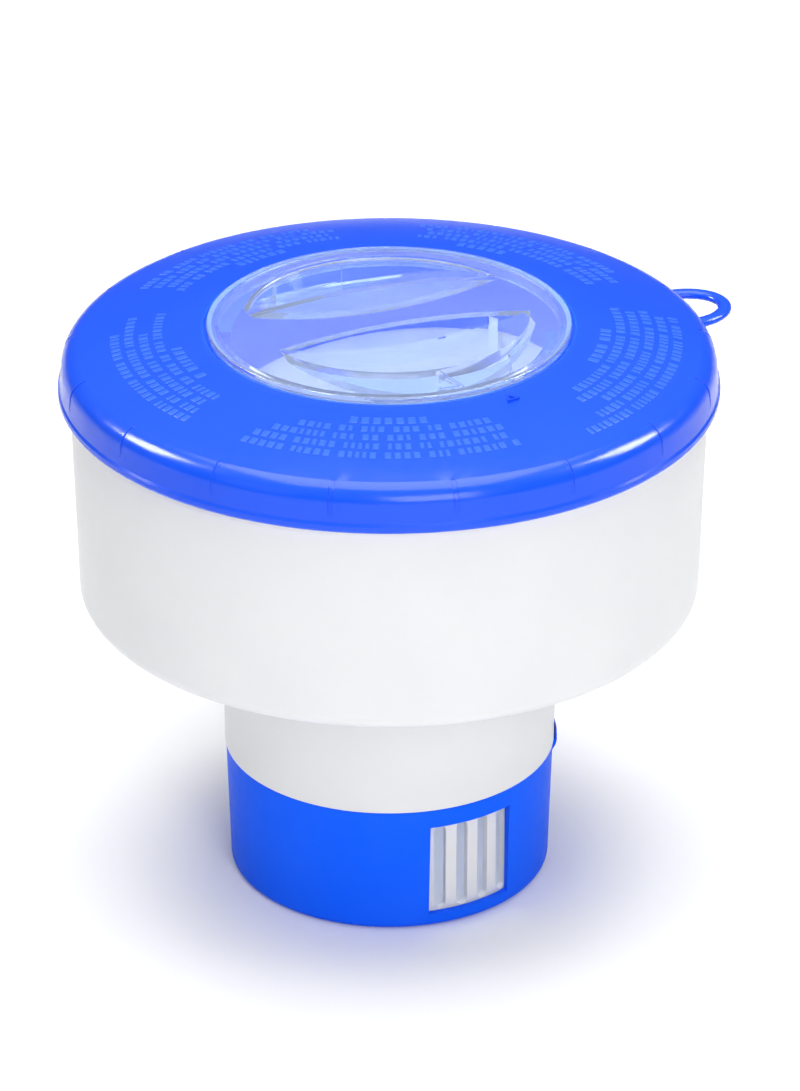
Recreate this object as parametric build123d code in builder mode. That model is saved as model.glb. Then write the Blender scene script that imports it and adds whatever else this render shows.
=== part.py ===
"""Floating chlorine dispenser: a ring float with a tablet tube, a bayonet cap and a dosing ring.

Frame: millimetres, +Z up, origin on the axis at the underside of the dosing ring.
Front is -Y. Azimuths are degrees from +X towards +Y.
"""

import os
from math import asin, cos, degrees, radians, sin, sqrt

from build123d import *

# Heights of the main levels
TOP = 193.7  # crown of the clear cap
LID_BOTTOM = 165.1
CAP_SEAT = 184.5
FLANGE_BOTTOM = 185.4
DRUM_BOTTOM = 95.9
NECK_BOTTOM = 42.9
RING_TOP = 42.6

# Radii of the main levels
LID_R = 101.2
DRUM_TOP_R = 98.95
DRUM_BOTTOM_R = 97.0
NECK_TOP_R = 53.0
NECK_BOTTOM_R = 52.4
RING_TOP_R = 52.1
RING_BOTTOM_R = 50.8
CAP_R = 56.2
HOLE_R = 54.0
BORE_R = 46.4  # clear radius for a stack of 76 mm tablets

WALL = 2.2
FIT = 0.15  # gap between pieces that are fixed together
PLAY = 0.4  # gap between pieces that move
FLAT = 0.1  # gap between flat faces that rest on each other

# Directions of the features round the axis
BAR_AZ = 20.6
ARROW_AZ = -70.0
LOCK_AZ = -55.0
EYE_AZ = 26.0
WINDOW_AZ = -59.4
SLOTS_AZ = -57.5
THUMB_AZ = 3.5
KEY_AZ = 53.0
OPPOSITE = (0.0, 180.0)

os.makedirs("parts", exist_ok=True)


def outward(azimuth, height=0.0):
    """Plane facing away from the axis: its x runs round the axis, its y runs up."""
    a = radians(azimuth)
    return Plane(origin=(0, 0, height), x_dir=(-sin(a), cos(a), 0), z_dir=(cos(a), sin(a), 0))


def section(azimuth):
    """Upright plane through the axis: its x runs outward along the azimuth, its y runs up."""
    a = radians(azimuth)
    return Plane(origin=(0, 0, 0), x_dir=(cos(a), sin(a), 0), z_dir=(sin(a), -cos(a), 0))


def turned(azimuth, height):
    """Level plane whose x runs outward along the azimuth."""
    a = radians(azimuth)
    return Plane(origin=(0, 0, height), x_dir=(cos(a), sin(a), 0), z_dir=(0, 0, 1))


def on_circle(radius, azimuth):
    a = radians(azimuth)
    return (radius * cos(a), radius * sin(a))


def sector(inner, outer, start, end):
    """Face of a ring between two azimuths."""
    middle = (start + end) / 2
    with BuildSketch() as face:
        with BuildLine():
            Line(on_circle(inner, start), on_circle(outer, start))
            ThreePointArc(on_circle(outer, start), on_circle(outer, middle), on_circle(outer, end))
            Line(on_circle(outer, end), on_circle(inner, end))
            ThreePointArc(on_circle(inner, end), on_circle(inner, middle), on_circle(inner, start))
        make_face()
    return face.sketch


def ring_profile(inner, outer, low, high):
    """Section of a plain ring."""
    with BuildSketch() as face:
        with Locations(((inner + outer) / 2, (low + high) / 2)):
            Rectangle(outer - inner, high - low)
    return face.sketch


# Float drum: outer wall, floor and neck, open at the top
DRUM_RIM = 174.15
FLOOR_ROUND = 5.0
NECK_ROUND = 1.5
SNAP_Z = 50.9
SNAP_R = 50.3
NECK_BORE_R = 49.9

with BuildPart() as float_drum:
    with BuildSketch(Plane.XZ):
        with BuildLine():
            Polyline(
                (NECK_BORE_R, NECK_BOTTOM),
                (NECK_BOTTOM_R, NECK_BOTTOM),
                (NECK_TOP_R, DRUM_BOTTOM),
                (DRUM_BOTTOM_R, DRUM_BOTTOM),
                (DRUM_TOP_R, DRUM_RIM),
                (DRUM_TOP_R - WALL, DRUM_RIM),
                (DRUM_BOTTOM_R - WALL, DRUM_BOTTOM + WALL),
                (NECK_BORE_R + 0.3, DRUM_BOTTOM + WALL),
                close=True,
            )
        make_face()
    revolve(axis=Axis.Z)
    outer_edges = float_drum.edges().filter_by(GeomType.CIRCLE)
    fillet(outer_edges.filter_by(lambda e: abs(e.radius - DRUM_BOTTOM_R) < 0.01), FLOOR_ROUND)
    inner_edges = float_drum.edges().filter_by(GeomType.CIRCLE)
    fillet(inner_edges.filter_by(lambda e: abs(e.radius - (DRUM_BOTTOM_R - WALL)) < 0.01), FLOOR_ROUND - WALL)
    neck_edges = float_drum.edges().filter_by(GeomType.CIRCLE)
    fillet(neck_edges.filter_by(lambda e: abs(e.radius - NECK_TOP_R) < 0.01), NECK_ROUND)
    rim_edges = float_drum.edges().group_by(Axis.Z)[-1]
    fillet(rim_edges, 0.5)
    with BuildSketch(Plane.XZ):
        add(ring_profile(NECK_BORE_R - 1, SNAP_R, SNAP_Z - 0.9, SNAP_Z + 0.9))
    revolve(axis=Axis.Z, mode=Mode.SUBTRACT)
float_drum.part.label = "float_drum"
export_step(float_drum.part, "parts/float_drum.step")


# Top lid: skirt with a bead, rounded shoulder, crowned top, seat and collar, and the mooring eye
SHOULDER_R = 6.4
SHOULDER_Z = 173.2
SHOULDER_END = 75.0  # degrees of the shoulder's arc
SKIRT_LOW_R = 101.75
BEAD = 0.55
BEAD_HIGH = 3.0
SKIRT_IN_R = 99.35
RECESS_R = 57.3
CONE_TOP_R = 57.8
CONE_TOP_Z = 185.8
CROWN = 1.0
COLLAR_OUT_R = 56.0
shoulder_centre = LID_R - SHOULDER_R
shoulder_end = (
    shoulder_centre + SHOULDER_R * cos(radians(SHOULDER_END)),
    SHOULDER_Z + SHOULDER_R * sin(radians(SHOULDER_END)),
)
shoulder_mid = (
    shoulder_centre + SHOULDER_R * cos(radians(SHOULDER_END / 2)),
    SHOULDER_Z + SHOULDER_R * sin(radians(SHOULDER_END / 2)),
)
crown_mid = ((shoulder_end[0] + CONE_TOP_R) / 2, (shoulder_end[1] + CONE_TOP_Z) / 2 + CROWN)
crown_quarter = (
    (3 * shoulder_end[0] + CONE_TOP_R) / 4,
    (3 * shoulder_end[1] + CONE_TOP_Z) / 4 + 0.75 * CROWN,
)


def lowered(point, drop, inset=0.0):
    return (point[0] - inset, point[1] - drop)


INNER_R = SHOULDER_R - (LID_R - SKIRT_IN_R)
inner_end = (
    shoulder_centre + INNER_R * cos(radians(SHOULDER_END)),
    SHOULDER_Z + INNER_R * sin(radians(SHOULDER_END)),
)
inner_mid = (
    shoulder_centre + INNER_R * cos(radians(SHOULDER_END / 2)),
    SHOULDER_Z + INNER_R * sin(radians(SHOULDER_END / 2)),
)
UNDER_SEAT = 182.5
BOSS_BOTTOM = 181.1
BOSS_R = 59.0
UNDER_R = BOSS_R + 1.5
UNDER_Z = UNDER_SEAT + 1.1
under_mid = ((inner_end[0] + UNDER_R) / 2, (inner_end[1] + UNDER_Z) / 2 + CROWN)

# Ramps on the collar's lower edge: one for each half turn
RAMP_MID_Z = 159.3
RAMP_SLOPE = 0.13
COLLAR_LOW = 147.9
# Bayonet lugs inside the collar
LUG_START, LUG_END = 145.5, 180.0
LUG_IN_R = 48.2
LUG_LOW, LUG_HIGH = 179.3, 182.3
STOP_START, STOP_END = 159.0, 161.5
STOP_LOW = 176.1
STOP_IN_R = 50.0
# Mooring eye
EYE_Z = 170.5
EYE_ROOT = 99.9
EYE_STRAIGHT = 3.4
EYE_REACH = 13.5
EYE_HALF_WIDTH = 11.2
EYE_WIDE, EYE_HIGH = 4.4, 3.1
# Gussets between the shoulder and the top, and the sink marks over them
GUSSETS = 17
GUSSET_AZ = -78.6
GUSSET_THICK = 1.6
GUSSET_OUTLINE = ((82, 181.6), (96.3, 178.2), (96.3, 174.9), (88, 176.6))
SINK_DEPTH = 0.22
SINK_LONG, SINK_WIDE = 8.0, 1.4
SINK_R = 100.2
SINK_LOW = 170.4
KEY_WIDE = 3.8
KEY_TOP = 168.9
# Lock mark on the top: the outline of a small triangle
LOCK_R = 64.0
LOCK_TOP = 186.1
LOCK_SIDE = 4.4
LOCK_HOLLOW = 2.4

with BuildPart() as sink_marks:
    with BuildSketch(Plane.XZ):
        with BuildLine():
            Line((80, 192), lowered(crown_mid, SINK_DEPTH))
            ThreePointArc(
                lowered(crown_mid, SINK_DEPTH),
                lowered(crown_quarter, SINK_DEPTH),
                lowered(shoulder_end, SINK_DEPTH),
            )
            ThreePointArc(
                lowered(shoulder_end, SINK_DEPTH),
                lowered(shoulder_mid, SINK_DEPTH, SINK_DEPTH),
                (LID_R - SINK_DEPTH, SHOULDER_Z),
            )
            Polyline(
                (LID_R - SINK_DEPTH, SHOULDER_Z),
                (LID_R + 0.25, SINK_LOW),
                (110, SINK_LOW),
                (110, 192),
                (80, 192),
            )
        make_face()
    revolve(axis=Axis.Z)
    with BuildSketch(Plane.XY.offset(165)):
        with PolarLocations(SINK_R, GUSSETS, start_angle=GUSSET_AZ):
            SlotOverall(SINK_LONG, SINK_WIDE)
    extrude(amount=40, mode=Mode.INTERSECT)

with BuildPart() as collar:
    with BuildSketch(Plane.XZ):
        add(ring_profile(HOLE_R, COLLAR_OUT_R, COLLAR_LOW, CAP_SEAT))
    revolve(axis=Axis.Z)
    for flip in (1, -1):
        with BuildSketch(Plane(origin=(0, 0, 0), x_dir=(flip, 0, 0), z_dir=(0, -flip, 0))):
            with BuildLine():
                Polyline(
                    (-70, 140),
                    (70, 140),
                    (70, RAMP_MID_Z + 70 * RAMP_SLOPE),
                    (-70, RAMP_MID_Z - 70 * RAMP_SLOPE),
                    close=True,
                )
            make_face()
        extrude(amount=-70, mode=Mode.SUBTRACT)
    for spin in OPPOSITE:
        with BuildSketch(outward(KEY_AZ + spin)):
            with Locations((0, (COLLAR_LOW + KEY_TOP) / 2)):
                Rectangle(KEY_WIDE + 2 * FIT, KEY_TOP - COLLAR_LOW)
        extrude(amount=70, mode=Mode.SUBTRACT)

with BuildPart() as top_lid:
    with BuildSketch(Plane.XZ):
        with BuildLine():
            Polyline(
                (LID_R, SHOULDER_Z),
                (SKIRT_LOW_R, LID_BOTTOM + BEAD_HIGH),
                (SKIRT_LOW_R + BEAD, LID_BOTTOM + BEAD_HIGH - 0.8),
                (SKIRT_LOW_R + BEAD, LID_BOTTOM + 0.8),
                (SKIRT_LOW_R, LID_BOTTOM),
                (SKIRT_IN_R, LID_BOTTOM),
                (SKIRT_IN_R, SHOULDER_Z),
            )
            ThreePointArc((SKIRT_IN_R, SHOULDER_Z), inner_mid, inner_end)
            ThreePointArc(inner_end, under_mid, (UNDER_R, UNDER_Z))
            Polyline(
                (UNDER_R, UNDER_Z),
                (BOSS_R, BOSS_BOTTOM),
                (HOLE_R, BOSS_BOTTOM),
                (HOLE_R, CAP_SEAT),
                (RECESS_R, CAP_SEAT),
                (RECESS_R, CONE_TOP_Z - 0.3),
                (CONE_TOP_R, CONE_TOP_Z),
            )
            ThreePointArc((CONE_TOP_R, CONE_TOP_Z), crown_mid, shoulder_end)
            ThreePointArc(shoulder_end, shoulder_mid, (LID_R, SHOULDER_Z))
        make_face()
    revolve(axis=Axis.Z)
    add(sink_marks.part, mode=Mode.SUBTRACT)
    add(collar.part)
    for spin in OPPOSITE:
        with BuildSketch(Plane.XY.offset(LUG_LOW)):
            add(sector(LUG_IN_R, HOLE_R + 1, LUG_START + spin, LUG_END + spin))
        extrude(amount=LUG_HIGH - LUG_LOW)
        with BuildSketch(Plane.XY.offset(STOP_LOW)):
            add(sector(STOP_IN_R, HOLE_R + 1, STOP_START + spin, STOP_END + spin))
        extrude(amount=LUG_LOW - STOP_LOW + 0.5)
    for i in range(GUSSETS):
        with BuildSketch(section(GUSSET_AZ + i * 360 / GUSSETS)):
            with BuildLine():
                Polyline(*GUSSET_OUTLINE, close=True)
            make_face()
        extrude(amount=GUSSET_THICK / 2, both=True)
    with BuildLine(turned(EYE_AZ, EYE_Z)):
        bend = EYE_ROOT + EYE_STRAIGHT
        Line((EYE_ROOT, -EYE_HALF_WIDTH), (bend, -EYE_HALF_WIDTH))
        EllipticalCenterArc((bend, 0), EYE_REACH, EYE_HALF_WIDTH, start_angle=-90, arc_size=180)
        Line((bend, EYE_HALF_WIDTH), (EYE_ROOT, EYE_HALF_WIDTH))
    eye_path = top_lid.pending_edges_as_wire
    with BuildSketch(Plane(origin=eye_path @ 0, z_dir=eye_path % 0, x_dir=(0, 0, 1))):
        Ellipse(EYE_HIGH / 2, EYE_WIDE / 2)
    sweep(path=eye_path)
    with BuildSketch(turned(LOCK_AZ, 180)):
        with Locations((LOCK_R, 0)):
            Triangle(a=LOCK_SIDE, b=LOCK_SIDE, c=LOCK_SIDE, rotation=90)
            Triangle(
                a=LOCK_HOLLOW, b=LOCK_HOLLOW, c=LOCK_HOLLOW, rotation=90, mode=Mode.SUBTRACT
            )
    extrude(amount=LOCK_TOP - 180)
top_lid.part.label = "top_lid"
export_step(top_lid.part, "parts/top_lid.step")


# Rim seal between the drum's rim and the lid's shoulder
LID_SEAL_R = 97.55
LID_SEAL_Z = 175.3
LID_SEAL_WIRE = 1.0

with BuildPart() as lid_seal:
    with BuildSketch(Plane.XZ):
        with Locations((LID_SEAL_R, LID_SEAL_Z)):
            Circle(LID_SEAL_WIRE)
    revolve(axis=Axis.Z)
lid_seal.part.label = "lid_seal"
export_step(lid_seal.part, "parts/lid_seal.step")


# Tablet tube: bell mouth round the collar, cone, and a straight end in the neck
TUBE_WALL = 1.8
TUBE_TOP = 178.9
BELL_Z = 149.9
CONE_Z = 98.9
TUBE_BOTTOM = 61.9
TUBE_END_R = 49.4
BELL_R = COLLAR_OUT_R + FIT
SEAL_Z = 79.9
SEAL_WIRE = 0.9
GROOVE_R = 48.0

with BuildPart() as tablet_tube:
    with BuildSketch(Plane.XZ):
        with BuildLine():
            Polyline(
                (BELL_R, TUBE_TOP),
                (BELL_R, BELL_Z),
                (BORE_R, CONE_Z),
                (BORE_R, TUBE_BOTTOM),
                (TUBE_END_R, TUBE_BOTTOM),
                (TUBE_END_R, CONE_Z + 4),
                (BELL_R + TUBE_WALL, BELL_Z + 2),
                (BELL_R + TUBE_WALL, TUBE_TOP),
                close=True,
            )
        make_face()
        with Locations((GROOVE_R + 2, SEAL_Z)):
            Rectangle(4, 2 * SEAL_WIRE + 0.2, mode=Mode.SUBTRACT)
    revolve(axis=Axis.Z)
    for spin in OPPOSITE:
        with BuildSketch(turned(KEY_AZ + spin, BELL_Z)):
            with Locations((HOLE_R + 1.6, 0)):
                Rectangle(2.4, KEY_WIDE)
        extrude(amount=KEY_TOP - FIT - BELL_Z)
tablet_tube.part.label = "tablet_tube"
export_step(tablet_tube.part, "parts/tablet_tube.step")


# Seal ring between the tube's mouth and the lid
with BuildPart() as collar_seal:
    with BuildSketch(Plane.XZ):
        add(ring_profile(BELL_R + 0.1, BELL_R + TUBE_WALL, TUBE_TOP + FLAT, BOSS_BOTTOM - FLAT))
    revolve(axis=Axis.Z)
collar_seal.part.label = "collar_seal"
export_step(collar_seal.part, "parts/collar_seal.step")


# Seal ring between the tube's lower end and the neck
with BuildPart() as tube_seal:
    with BuildSketch(Plane.XZ):
        with Locations((GROOVE_R + SEAL_WIRE + 0.05, SEAL_Z)):
            Circle(SEAL_WIRE)
    revolve(axis=Axis.Z)
tube_seal.part.label = "tube_seal"
export_step(tube_seal.part, "parts/tube_seal.step")


# Slotted basket: snaps into the neck, carries the dosing ring and holds the tablets
BASKET_R = 48.6
BASKET_TOP = TUBE_BOTTOM - FLAT
BASKET_FLOOR = 2.9
BASKET_STEP = 43.1
FLOOR_THICK = 2.0
TRACK_Z = 38.9
TRACK_R = 48.0
SLOT_PITCH = 9.0
SLOT_COUNT = 4
SLOT_WIDE = 3.9
SLOT_LOW, SLOT_HIGH = 5.0, 34.8
PIN_R = 1.5
PIN_AT = 20.0
PIN_AZ = 90.0
PIN_BOTTOM = 1.5

with BuildPart() as slotted_basket:
    with BuildSketch(Plane.XZ):
        with BuildLine():
            Polyline(
                (0, BASKET_FLOOR),
                (BASKET_R, BASKET_FLOOR),
                (BASKET_R, TRACK_Z - 1.0),
                (TRACK_R, TRACK_Z - 1.0),
                (TRACK_R, TRACK_Z + 1.0),
                (BASKET_R, TRACK_Z + 1.0),
                (BASKET_R, BASKET_STEP),
                (NECK_BORE_R - FIT, BASKET_STEP),
                (NECK_BORE_R - FIT, SNAP_Z - 0.6),
                (SNAP_R - FIT, SNAP_Z - 0.3),
                (SNAP_R - FIT, SNAP_Z + 0.3),
                (NECK_BORE_R - FIT, SNAP_Z + 0.6),
                (NECK_BORE_R - FIT, BASKET_TOP),
                (BORE_R, BASKET_TOP),
                (BORE_R, BASKET_FLOOR + FLOOR_THICK),
                (0, BASKET_FLOOR + FLOOR_THICK),
                close=True,
            )
        make_face()
    revolve(axis=Axis.Z)
    for spin in OPPOSITE:
        for i in range(SLOT_COUNT):
            slot_az = SLOTS_AZ + spin + (i - (SLOT_COUNT - 1) / 2) * SLOT_PITCH
            with BuildSketch(outward(slot_az)):
                with Locations((0, (SLOT_LOW + SLOT_HIGH) / 2)):
                    SlotOverall(SLOT_HIGH - SLOT_LOW, SLOT_WIDE, rotation=90)
            extrude(amount=BASKET_R + 2, mode=Mode.SUBTRACT)
    with BuildSketch(Plane.XY.offset(PIN_BOTTOM)):
        with Locations(on_circle(PIN_AT, PIN_AZ)):
            Circle(PIN_R)
    extrude(amount=BASKET_FLOOR - PIN_BOTTOM + 0.5)
slotted_basket.part.label = "slotted_basket"
export_step(slotted_basket.part, "parts/slotted_basket.step")


# Dosing ring: a shallow cup round the basket, with two windows, a thumb lip and a stop groove
RING_IN_R = BASKET_R + PLAY
RING_FLOOR = 2.2
RING_ROUND = 2.5
WINDOW_WIDE = 28.9
WINDOW_LOW, WINDOW_HIGH = 4.8, 36.4
RING_TURN = 36.0
FOOT_IN_R, FOOT_OUT_R = 30.0, 43.0
FOOT_DEEP = 0.8
BEAD_OUT = 0.65
THUMB_HALF = 6.0
THUMB_OUT_R = 53.4
THUMB_LOW, THUMB_HIGH = 36.4, 44.5

with BuildPart() as dosing_ring:
    with BuildSketch(Plane.XZ):
        with BuildLine():
            Polyline(
                (0, 0),
                (FOOT_IN_R, 0),
                (FOOT_IN_R, FOOT_DEEP),
                (FOOT_OUT_R, FOOT_DEEP),
                (FOOT_OUT_R, 0),
                (RING_BOTTOM_R, 0),
                (RING_TOP_R, RING_TOP),
                (RING_IN_R, RING_TOP),
                (RING_IN_R, TRACK_Z + 0.6),
                (RING_IN_R - BEAD_OUT, TRACK_Z + 0.3),
                (RING_IN_R - BEAD_OUT, TRACK_Z - 0.3),
                (RING_IN_R, TRACK_Z - 0.6),
                (RING_IN_R, RING_FLOOR),
                (0, RING_FLOOR),
                close=True,
            )
        make_face()
    revolve(axis=Axis.Z)
    base_edges = dosing_ring.edges().filter_by(GeomType.CIRCLE)
    fillet(base_edges.filter_by(lambda e: abs(e.radius - RING_BOTTOM_R) < 0.01), RING_ROUND)
    top_edges = dosing_ring.edges().filter_by(GeomType.CIRCLE)
    fillet(top_edges.filter_by(lambda e: abs(e.radius - RING_TOP_R) < 0.01), 0.4)
    for spin in OPPOSITE:
        with BuildSketch(outward(WINDOW_AZ + spin)):
            with Locations((0, (WINDOW_LOW + WINDOW_HIGH) / 2)):
                Rectangle(WINDOW_WIDE, WINDOW_HIGH - WINDOW_LOW)
        extrude(amount=60, mode=Mode.SUBTRACT)
    with BuildSketch(Plane.XY.offset(PIN_BOTTOM - PLAY)):
        with BuildLine(mode=Mode.PRIVATE) as stop_arc:
            CenterArc((0, 0), PIN_AT, PIN_AZ - RING_TURN - 1, RING_TURN + 2)
        SlotArc(stop_arc.edges()[0], 2 * (PIN_R + PLAY))
    extrude(amount=3, mode=Mode.SUBTRACT)
    with BuildSketch(section(THUMB_AZ - THUMB_HALF)):
        with BuildLine():
            Polyline(
                (RING_TOP_R - 0.9, THUMB_LOW),
                (THUMB_OUT_R - 0.4, THUMB_LOW + 3.4),
                (THUMB_OUT_R, THUMB_LOW + 5.2),
                (THUMB_OUT_R, THUMB_HIGH - 1.0),
                (THUMB_OUT_R - 0.3, THUMB_HIGH),
                (NECK_BOTTOM_R + PLAY, THUMB_HIGH),
                (NECK_BOTTOM_R + PLAY, RING_TOP - 1.0),
                (RING_TOP_R - 0.9, RING_TOP - 1.0),
                close=True,
            )
        make_face()
    revolve(axis=Axis.Z, revolution_arc=2 * THUMB_HALF)
dosing_ring.part.label = "dosing_ring"
export_step(dosing_ring.part, "parts/dosing_ring.step")


# Clear cap: domed skin, flange, centring rib, two finger wells with the grip bar between them
DOME_R = 250.0
SKIN = 2.2
RIB_OUT_R, RIB_IN_R = 53.5, 52.3
RIB_LOW = 182.5
WELL_R = 43.3
WELL_WALL = 1.6
BAR_HALF = 13.8
WELL_DEEP = 8.0
WELL_FLOOR = 1.8
BRACKET_START, BRACKET_END = 109.5, 143.0
BRACKET_IN_R, BRACKET_OUT_R = 44.3, 46.6
LIP_R = 52.0
LIP_LOW, LIP_HIGH = 176.4, 178.8
ARROW_IN_R, ARROW_OUT_R = 44.9, 54.0
ARROW_HALF = 4.4
MARK_HIGH = 0.45
MARK_LINE = 0.7
dome_z = TOP - DOME_R


def dome(radius, drop=0.0):
    """Height of the dome's surface, or of one that lies drop under it, at a radius."""
    return dome_z + sqrt((DOME_R - drop) ** 2 - radius**2)


def under_dome(drop):
    """Solid that fills the dome down to the level of the lips, with its top lowered by drop."""
    with BuildPart() as cover:
        with BuildSketch(Plane.XZ):
            with BuildLine():
                ThreePointArc((0, dome(0, drop)), (CAP_R / 2, dome(CAP_R / 2, drop)), (CAP_R, dome(CAP_R, drop)))
                Polyline((CAP_R, dome(CAP_R, drop)), (CAP_R, LIP_LOW), (0, LIP_LOW), (0, dome(0, drop)))
            make_face()
        revolve(axis=Axis.Z)
    return cover.part


def wells(radius, bar_half, drop):
    """The two crescent wells down to a floor that is drop under the dome at mid length."""
    corner = sqrt(WELL_R**2 - BAR_HALF**2)
    rise = WELL_DEEP - (DOME_R - sqrt(DOME_R**2 - corner**2))
    curve = (corner**2 + rise**2) / (2 * rise)
    reach = 60.0
    floor = TOP - drop
    edge = floor + curve - sqrt(curve**2 - reach**2)
    a = radians(BAR_AZ)
    with BuildPart() as scoop:
        with BuildSketch(section(BAR_AZ)):
            with BuildLine():
                ThreePointArc((-reach, edge), (0, floor), (reach, edge))
                Polyline((reach, edge), (reach, 215), (-reach, 215), (-reach, edge))
            make_face()
        revolve(axis=Axis((0, 0, dome_z), (cos(a), sin(a), 0)))
        with BuildSketch(turned(BAR_AZ, 170)):
            Circle(radius)
            Rectangle(3 * radius, 2 * bar_half, mode=Mode.SUBTRACT)
        extrude(amount=35, mode=Mode.INTERSECT)
    return scoop.part


dome_solid = under_dome(0.0)
dome_raised = under_dome(-MARK_HIGH)
well_voids = wells(WELL_R, BAR_HALF, WELL_DEEP)
well_walls = wells(WELL_R + WELL_WALL, BAR_HALF - WELL_WALL, WELL_DEEP + WELL_FLOOR) & dome_solid

with BuildPart() as arrow_mark:
    with BuildSketch(turned(ARROW_AZ, FLANGE_BOTTOM + 1)):
        with BuildLine():
            Polyline(
                (ARROW_IN_R, 0), (ARROW_OUT_R, ARROW_HALF), (ARROW_OUT_R, -ARROW_HALF), close=True
            )
        make_face()
        offset(amount=-MARK_LINE, mode=Mode.SUBTRACT)
    extrude(amount=6)
    add(dome_raised, mode=Mode.INTERSECT)

with BuildPart() as clear_cap:
    with BuildSketch(Plane.XZ):
        with BuildLine():
            ThreePointArc((0, dome(0)), (CAP_R / 2, dome(CAP_R / 2)), (CAP_R, dome(CAP_R)))
            Polyline(
                (CAP_R, dome(CAP_R)),
                (CAP_R, FLANGE_BOTTOM),
                (RIB_OUT_R, FLANGE_BOTTOM),
                (RIB_OUT_R, RIB_LOW),
                (RIB_IN_R, RIB_LOW),
                (RIB_IN_R, dome(RIB_IN_R, SKIN)),
            )
            ThreePointArc(
                (RIB_IN_R, dome(RIB_IN_R, SKIN)),
                (RIB_IN_R / 2, dome(RIB_IN_R / 2, SKIN)),
                (0, dome(0, SKIN)),
            )
            Line((0, dome(0, SKIN)), (0, dome(0)))
        make_face()
    revolve(axis=Axis.Z)
    flange_edges = clear_cap.edges().filter_by(GeomType.CIRCLE)
    fillet(flange_edges.filter_by(lambda e: abs(e.radius - CAP_R) < 0.01), 0.45)
    add(well_walls)
    add(well_voids, mode=Mode.SUBTRACT)
    for spin in OPPOSITE:
        with BuildSketch(Plane.XY.offset(LIP_LOW)):
            add(sector(BRACKET_IN_R, BRACKET_OUT_R, BRACKET_START + spin, BRACKET_END + spin))
        extrude(amount=dome(BRACKET_OUT_R, SKIN / 2) - LIP_LOW)
        with BuildSketch(Plane.XY.offset(LIP_LOW)):
            add(sector(BRACKET_IN_R, LIP_R, BRACKET_START + spin, BRACKET_END + spin))
        extrude(amount=LIP_HIGH - LIP_LOW)
    add(arrow_mark.part)
clear_cap.part.label = "clear_cap"
export_step(clear_cap.part, "parts/clear_cap.step")


# Flat gasket between the cap's flange and the lid's seat
GASKET_IN_R, GASKET_OUT_R = 54.3, 56.0

with BuildPart() as cap_seal:
    with BuildSketch(Plane.XZ):
        add(ring_profile(GASKET_IN_R, GASKET_OUT_R, CAP_SEAT + FLAT, FLANGE_BOTTOM - FLAT))
    revolve(axis=Axis.Z)
cap_seal.part.label = "cap_seal"
export_step(cap_seal.part, "parts/cap_seal.step")

covered = degrees(asin(WINDOW_WIDE / 2 / BASKET_R))
last_slot = (SLOT_COUNT - 1) / 2 * SLOT_PITCH + degrees(asin(SLOT_WIDE / 2 / BASKET_R))
print("closed margin, degrees:", round(RING_TURN + WINDOW_AZ - covered - SLOTS_AZ - last_slot, 2))
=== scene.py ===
"""Looks of the floating chlorine dispenser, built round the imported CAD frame. Metres, +Z up, front is -Y."""

import random
from math import cos, radians, sin

import bpy
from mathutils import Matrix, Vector
from mathutils.bvhtree import BVHTree


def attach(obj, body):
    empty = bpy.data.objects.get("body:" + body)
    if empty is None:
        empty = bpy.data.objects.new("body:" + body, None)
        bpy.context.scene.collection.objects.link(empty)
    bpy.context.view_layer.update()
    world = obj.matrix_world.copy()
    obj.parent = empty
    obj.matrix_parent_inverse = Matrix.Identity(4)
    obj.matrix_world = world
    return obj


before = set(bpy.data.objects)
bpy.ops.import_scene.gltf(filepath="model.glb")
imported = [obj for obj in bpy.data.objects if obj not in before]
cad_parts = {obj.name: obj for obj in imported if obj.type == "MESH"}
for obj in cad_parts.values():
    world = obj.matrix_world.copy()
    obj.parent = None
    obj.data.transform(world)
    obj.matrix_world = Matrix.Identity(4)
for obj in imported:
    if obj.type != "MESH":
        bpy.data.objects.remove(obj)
bpy.context.view_layer.update()

MM = 0.001
FLOOR_HALF = 12.0
FLOOR_DROP = 0.2 * MM  # keeps the floor clear of the part's flat underside


# ---------------------------------------------------------------- camera, light and floor

CAMERA_DISTANCE = 1.8
CAMERA_ELEVATION = 26.9
CAMERA_LENS = 189.4
AIM = Vector((0.00336, 0.0, 0.10968))


def look_from(location, target):
    """Rotation that points an object's -Z from location to target."""
    return (Vector(target) - Vector(location)).to_track_quat("-Z", "Y")


def make_camera():
    e = radians(CAMERA_ELEVATION)
    data = bpy.data.cameras.new("view_camera")
    data.lens = CAMERA_LENS
    data.sensor_width = 36.0
    camera = bpy.data.objects.new("view_camera", data)
    camera.location = AIM + Vector((0.0, -cos(e), sin(e))) * CAMERA_DISTANCE
    camera.rotation_euler = look_from(camera.location, AIM).to_euler()
    bpy.context.scene.collection.objects.link(camera)
    bpy.context.scene.camera = camera


def soft_light(name, location, target, width, height, power, highlight_only=False):
    """Softbox; one that is highlight_only shows in reflections but adds no diffuse light."""
    data = bpy.data.lights.new(name, "AREA")
    data.shape = "RECTANGLE"
    data.size = width
    data.size_y = height
    data.energy = power
    lamp = bpy.data.objects.new(name, data)
    lamp.location = location
    lamp.rotation_euler = look_from(location, target).to_euler()
    lamp.visible_diffuse = not highlight_only
    bpy.context.scene.collection.objects.link(lamp)


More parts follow.
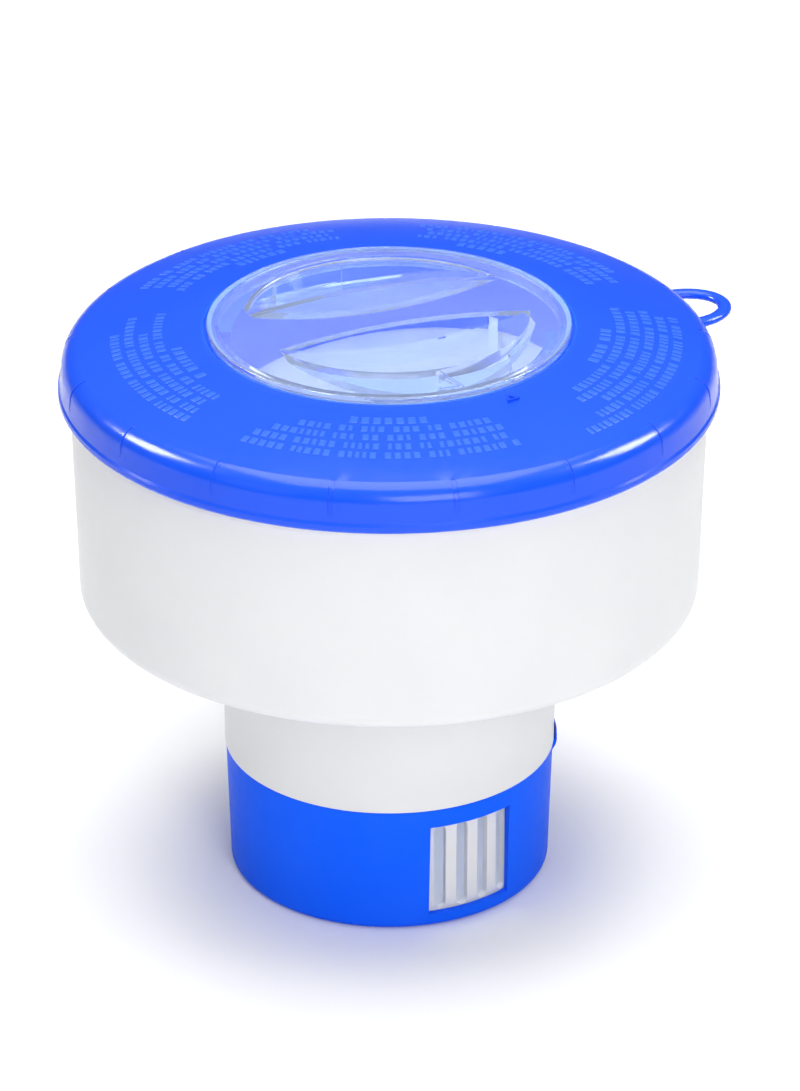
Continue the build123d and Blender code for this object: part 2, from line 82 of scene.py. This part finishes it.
def make_world(horizon, zenith):
    """Pale surroundings that are dim at the sides and brighter overhead."""
    world = bpy.data.worlds.new("studio_world")
    world.use_nodes = True
    tree = world.node_tree
    background = tree.nodes["Background"]
    background.inputs["Color"].default_value = (0.985, 0.99, 1.0, 1.0)
    direction = add_node(tree, "ShaderNodeTexCoord")
    parts = add_node(tree, "ShaderNodeSeparateXYZ", Vector=direction.outputs["Generated"])
    ramp = add_node(tree, "ShaderNodeMapRange", Value=parts.outputs["Z"])
    ramp.inputs["From Min"].default_value = 0.3
    ramp.inputs["To Min"].default_value = horizon
    ramp.inputs["To Max"].default_value = zenith
    tree.links.new(ramp.outputs["Result"], background.inputs["Strength"])
    bpy.context.scene.world = world


# ---------------------------------------------------------------- material helpers


def new_material(name):
    """A node material, its node tree and its Principled node."""
    material = bpy.data.materials.new(name)
    material.use_nodes = True
    tree = material.node_tree
    return material, tree, tree.nodes["Principled BSDF"]


def add_node(tree, kind, settings=None, **inputs):
    """Adds a node; settings are its properties, and inputs are socket values or sockets to link."""
    node = tree.nodes.new(kind)
    for key, value in (settings or {}).items():
        setattr(node, key, value)
    for key, value in inputs.items():
        socket = node.inputs[int(key[1:])] if key[0] == "i" and key[1:].isdigit() else node.inputs[key]
        if isinstance(value, bpy.types.NodeSocket):
            tree.links.new(value, socket)
        else:
            socket.default_value = value
    return node


def object_noise(tree, scale, detail=3.0, roughness=0.5):
    """Noise in the object's own metres, so that it stays with the piece."""
    place = add_node(tree, "ShaderNodeTexCoord")
    return add_node(
        tree,
        "ShaderNodeTexNoise",
        Vector=place.outputs["Object"],
        Scale=scale,
        Detail=detail,
        Roughness=roughness,
    ).outputs["Fac"]


def between(tree, factor, low, high):
    """Maps a 0 to 1 factor to a range of numbers."""
    node = add_node(tree, "ShaderNodeMapRange", Value=factor)
    node.inputs["From Min"].default_value = 0.3
    node.inputs["From Max"].default_value = 0.7
    node.inputs["To Min"].default_value = low
    node.inputs["To Max"].default_value = high
    return node.outputs["Result"]


def blend_colours(tree, factor, first, second):
    node = add_node(tree, "ShaderNodeMix", {"data_type": "RGBA"})
    tree.links.new(factor, node.inputs[0])
    node.inputs[6].default_value = (*first, 1.0)
    node.inputs[7].default_value = (*second, 1.0)
    return node.outputs[2]


def moulded_plastic(name, base, tone, rough, specular, edge=0.25 * MM, subsurface=0.0, grain=0.04):
    """Moulded plastic: faint flow marks in the colour, a fine eggshell grain, and softened edges."""
    material, tree, shader = new_material(name)
    flow = between(tree, object_noise(tree, 38.0, 4.0), 0.0, 1.0)
    shader.inputs["IOR"].default_value = 1.49
    shader.inputs["Specular IOR Level"].default_value = specular
    shader.inputs["Subsurface Weight"].default_value = subsurface
    shader.inputs["Subsurface Radius"].default_value = (1.0, 1.0, 1.0)
    shader.inputs["Subsurface Scale"].default_value = 0.8 * MM
    tree.links.new(blend_colours(tree, flow, base, tone), shader.inputs["Base Color"])
    haze = object_noise(tree, 260.0, 3.0)
    tree.links.new(between(tree, haze, rough - 0.035, rough + 0.045), shader.inputs["Roughness"])
    rounded = add_node(tree, "ShaderNodeBevel", {"samples": 4}, Radius=edge)
    wave = object_noise(tree, 90.0, 2.0)
    soft = add_node(
        tree, "ShaderNodeBump", Strength=0.12, Distance=0.10 * MM, Height=wave, Normal=rounded.outputs[0]
    )
    specks = object_noise(tree, 2600.0, 2.0, 0.6)
    fine = add_node(
        tree, "ShaderNodeBump", Strength=grain, Distance=0.02 * MM, Height=specks, Normal=soft.outputs[0]
    )
    tree.links.new(fine.outputs[0], shader.inputs["Normal"])
    return material


def clear_plastic(name):
    """Clear moulded plastic that lets the lamps through to what is inside."""
    material, tree, shader = new_material(name)
    shader.inputs["Transmission Weight"].default_value = 0.93
    shader.inputs["IOR"].default_value = 1.45
    tint = between(tree, object_noise(tree, 45.0, 2.0), 0.0, 1.0)
    tree.links.new(
        blend_colours(tree, tint, (0.70, 0.81, 1.0), (0.75, 0.84, 1.0)), shader.inputs["Base Color"]
    )
    haze = object_noise(tree, 180.0, 3.0)
    tree.links.new(between(tree, haze, 0.015, 0.05), shader.inputs["Roughness"])
    ripple = object_noise(tree, 120.0, 2.0)
    bump = add_node(tree, "ShaderNodeBump", Strength=0.10, Distance=0.10 * MM, Height=ripple)
    tree.links.new(bump.outputs[0], shader.inputs["Normal"])
    lamps = add_node(tree, "ShaderNodeLightPath")
    through = add_node(tree, "ShaderNodeBsdfTransparent", Color=(0.90, 0.94, 1.0, 1.0))
    mixed = add_node(
        tree,
        "ShaderNodeMixShader",
        i0=lamps.outputs["Is Shadow Ray"],
        i1=shader.outputs[0],
        i2=through.outputs[0],
    )
    tree.links.new(mixed.outputs[0], tree.nodes["Material Output"].inputs["Surface"])
    return material


def seal_rubber(name, base, tone, rough, transmission=0.0):
    """Rubber or silicone: matt, with a fine grain and slight patches."""
    material, tree, shader = new_material(name)
    patches = between(tree, object_noise(tree, 150.0, 4.0), 0.0, 1.0)
    tree.links.new(blend_colours(tree, patches, base, tone), shader.inputs["Base Color"])
    tree.links.new(between(tree, patches, rough - 0.06, rough + 0.06), shader.inputs["Roughness"])
    shader.inputs["Transmission Weight"].default_value = transmission
    grain = object_noise(tree, 3200.0, 2.0, 0.6)
    bump = add_node(tree, "ShaderNodeBump", Strength=0.2, Distance=0.02 * MM, Height=grain)
    tree.links.new(bump.outputs[0], shader.inputs["Normal"])
    return material


def floor_material():
    material, tree, shader = new_material("pale_floor")
    cloud = between(tree, object_noise(tree, 3.0, 2.0), 0.0, 1.0)
    tree.links.new(
        blend_colours(tree, cloud, (0.95, 0.95, 0.95), (0.965, 0.965, 0.965)), shader.inputs["Base Color"]
    )
    shader.inputs["Roughness"].default_value = 0.9
    shader.inputs["Specular IOR Level"].default_value = 0.1
    return material


def make_floor():
    mesh = bpy.data.meshes.new("floor")
    z = -FLOOR_DROP
    half = FLOOR_HALF
    mesh.from_pydata(
        [(-half, -half, z), (half, -half, z), (half, half, z), (-half, half, z)], [], [(0, 1, 2, 3)]
    )
    mesh.materials.append(floor_material())
    floor = bpy.data.objects.new("floor", mesh)
    bpy.context.scene.collection.objects.link(floor)


def paint(node, material):
    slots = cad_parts[node].material_slots
    for slot in slots:
        slot.material = material


# ---------------------------------------------------------------- raised rows on the lid

# Each group: the heading's start and end, then the start and end of each row, in degrees
ROW_GROUPS = (
    ((-167, -147), (-189, -136), (-178, -136), (-188, -136), (-180, -136)),
    ((-100, -80), (-112, -63), (-117, -63), (-120, -63), (-121, -63)),
    ((-22, -2), (-38, 11), (-41, 11), (-36, 11), (-42, 9), (-48, 9)),
    ((57, 70), (28, 82), (30, 80), (28, 81), (34, 82)),
    ((120, 136), (103, 156), (105, 154), (103, 155), (108, 156)),
)
ROW_RADII = (66.7, 71.3, 75.7, 80.1, 84.5, 88.9)
PAD_HIGH = (3.6, 3.0, 3.0, 3.0, 3.0, 3.0)
PAD_RISE = 0.16 * MM
PAD_SINK = 0.05 * MM
# A pad's three levels, from its foot to its top: half size as a share of the pad, and height over the lid
PAD_LEVELS = ((0.5, -PAD_SINK), (0.5, 0.02 * MM), (0.36, PAD_RISE))
PAD_WIDTHS = (0.44, 0.68, 0.68)  # shares of the pad's height
PAD_GAP = 0.28
WORD_GAP = 0.55
FIRST_WORD = (4, 8)  # fewest and most pads
NEXT_WORD = (2, 8)
ABOVE_LID = 0.25  # height that the lid is measured down from


def lid_height(tree, x, y):
    hit = tree.ray_cast(Vector((x, y, ABOVE_LID)), Vector((0, 0, -1)))
    return hit[0].z


def add_block(tree, points, faces, radius, azimuth, width, height):
    """One small raised pad with sloping sides, laid on the lid's top at a radius and azimuth."""
    first = len(points)
    for size, rise in PAD_LEVELS:
        for side, up in ((-1, -1), (1, -1), (1, 1), (-1, 1)):
            inset = (0.5 - size) * min(width, height)
            r = radius + up * (height / 2 - inset)
            a = azimuth + side * (width / 2 - inset) / radius
            x, y = r * cos(a), r * sin(a)
            points.append((x, y, lid_height(tree, x, y) + rise))
    for ring in (0, 4):
        for k in range(4):
            n = (k + 1) % 4
            faces.append((first + ring + k, first + ring + n, first + ring + 4 + n, first + ring + 4 + k))
    faces.append(tuple(first + 8 + k for k in range(4)))
    faces.append(tuple(first + k for k in (3, 2, 1, 0)))


def make_rows(material):
    """Rows of plain raised pads in five groups, in place of any lettering."""
    random.seed(7)
    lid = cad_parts["top_lid"].data
    lid.calc_loop_triangles()
    tree = BVHTree.FromPolygons([v.co for v in lid.vertices], [t.vertices for t in lid.loop_triangles])
    points, faces = [], []
    for group in ROW_GROUPS:
        for (start, stop), radius, high in zip(group, ROW_RADII, PAD_HIGH):
            r = radius * MM
            a, end = radians(start), radians(stop)
            pads = random.randint(*FIRST_WORD)
            while a < end:
                width = random.choice(PAD_WIDTHS) * high * MM
                add_block(tree, points, faces, r, a + width / 2 / r, width, high * MM)
                a += (width + PAD_GAP * high * MM) / r
                pads -= 1
                if pads == 0:
                    a += WORD_GAP * high * MM / r
                    pads = random.randint(*NEXT_WORD)
    mesh = bpy.data.meshes.new("lid_rows")
    mesh.from_pydata(points, [], faces)
    mesh.materials.append(material)
    rows = bpy.data.objects.new("lid_rows", mesh)
    bpy.context.scene.collection.objects.link(rows)
    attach(rows, "float")


# ---------------------------------------------------------------- the scene

make_camera()
make_world(0.14, 0.78)
make_floor()
soft_light("key_softbox", (0.5, -1.9, 1.0), (0, 0, 0.1), 1.0, 1.0, 20.0)
soft_light("fill_softbox", (-1.3, -1.3, 0.9), (0, 0, 0.1), 0.8, 0.8, 1.0)
soft_light("overhead_softbox", (0.0, 0.1, 1.7), (0, 0, 0.1), 1.4, 1.4, 27.0)
for side, sign in (("left", -1), ("right", 1)):
    place, target = (1.03 * sign, 0.14, 0.88), (0.08 * sign, 0, 0.17)
    soft_light(side + "_softbox", place, target, 0.40, 0.50, 18.0, highlight_only=True)

lid_blue = moulded_plastic("lid_blue", (0.005, 0.082, 0.81), (0.008, 0.087, 0.84), 0.20, 0.36, grain=0.0)
ring_blue = moulded_plastic("ring_blue", (0.006, 0.112, 0.96), (0.010, 0.120, 0.98), 0.40, 0.03, edge=0.0)
body_white = moulded_plastic(
    "body_white", (0.715, 0.718, 0.734), (0.735, 0.738, 0.752), 0.36, 0.4, subsurface=0.15
)
cap_clear = clear_plastic("cap_clear")
silicone = seal_rubber("clear_silicone", (0.25, 0.47, 0.95), (0.30, 0.52, 0.97), 0.35, 0.7)
nitrile = seal_rubber("black_nitrile", (0.02, 0.02, 0.022), (0.035, 0.035, 0.038), 0.6)

for node, material in {
    "top_lid": lid_blue,
    "float_drum": body_white,
    "tablet_tube": body_white,
    "slotted_basket": body_white,
    "dosing_ring": ring_blue,
    "clear_cap": cap_clear,
    "cap_seal": silicone,
    "lid_seal": nitrile,
    "collar_seal": nitrile,
    "tube_seal": nitrile,
}.items():
    paint(node, material)

row_blue = moulded_plastic("row_blue", (0.02, 0.125, 0.90), (0.024, 0.133, 0.92), 0.40, 0.3)
make_rows(row_blue)

bpy.context.scene.view_settings.view_transform = "Standard"
